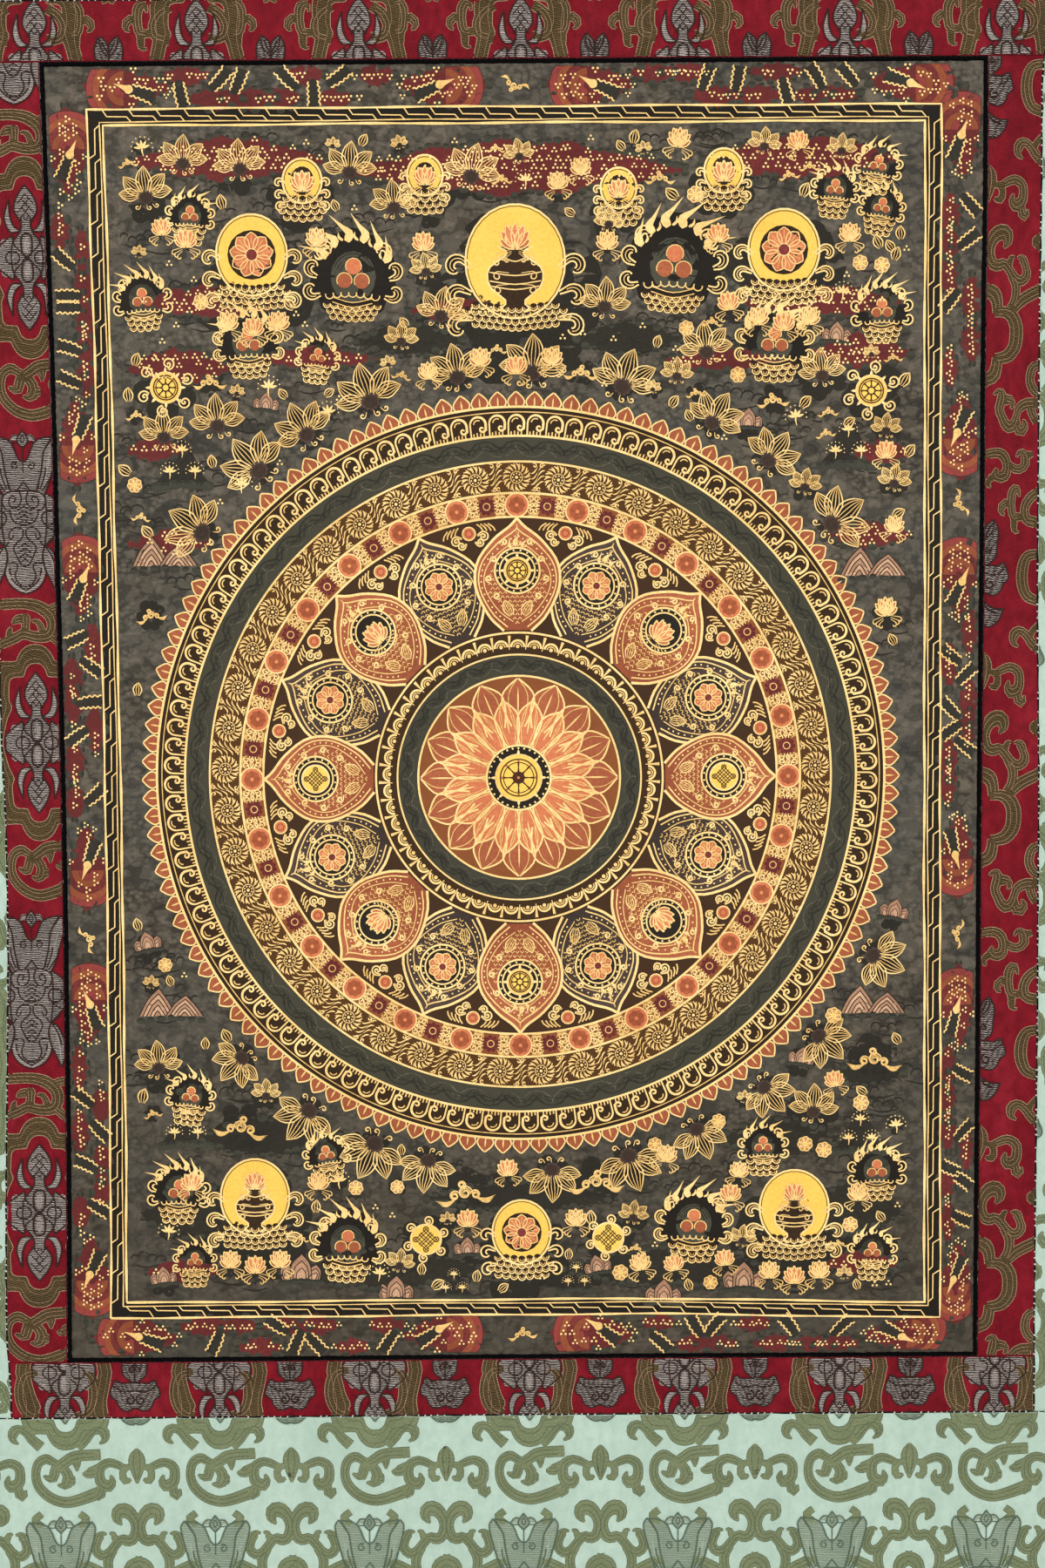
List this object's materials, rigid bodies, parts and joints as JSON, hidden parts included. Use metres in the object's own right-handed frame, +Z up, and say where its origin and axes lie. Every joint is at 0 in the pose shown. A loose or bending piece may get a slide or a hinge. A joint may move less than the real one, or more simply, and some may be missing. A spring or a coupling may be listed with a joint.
{
  "type": "thangka scroll painting",
  "caption": "Painted cotton picture edged in black and sewn into a red and pale green brocade mount, held by its plain hemmed heading.",
  "frame": {"origin": "middle of the top edge, in the plane of the heading's back, where the scroll is held", "axes": "+Z up along the length, -Y out of the painted front, +X to the viewer's right"},
  "size_m": [0.745, 0.0117, 1.175],
  "materials": {
    "picture": "cotton sized with chalk ground, painted dark green with fine gold, orange and maroon line ornament, satin",
    "edging": "black cotton edging strip, matt",
    "red_brocade": "crimson satin brocade with olive gold scrolls and silver grey palmettes, soft sheen",
    "mint_brocade": "pale mint satin brocade with sage green scrolls, soft sheen"
  },
  "bodies": {
    "root": {"picture": "picture", "edging_left": "edging", "edging_right": "edging", "edging_top": "edging", "edging_bottom": "edging", "border_left": "red_brocade", "border_right": "red_brocade", "border_top": "red_brocade", "border_bottom": "red_brocade", "side_left": "mint_brocade", "side_right": "mint_brocade", "heading": "mint_brocade", "foot": "mint_brocade"}
  },
  "joints": []
}
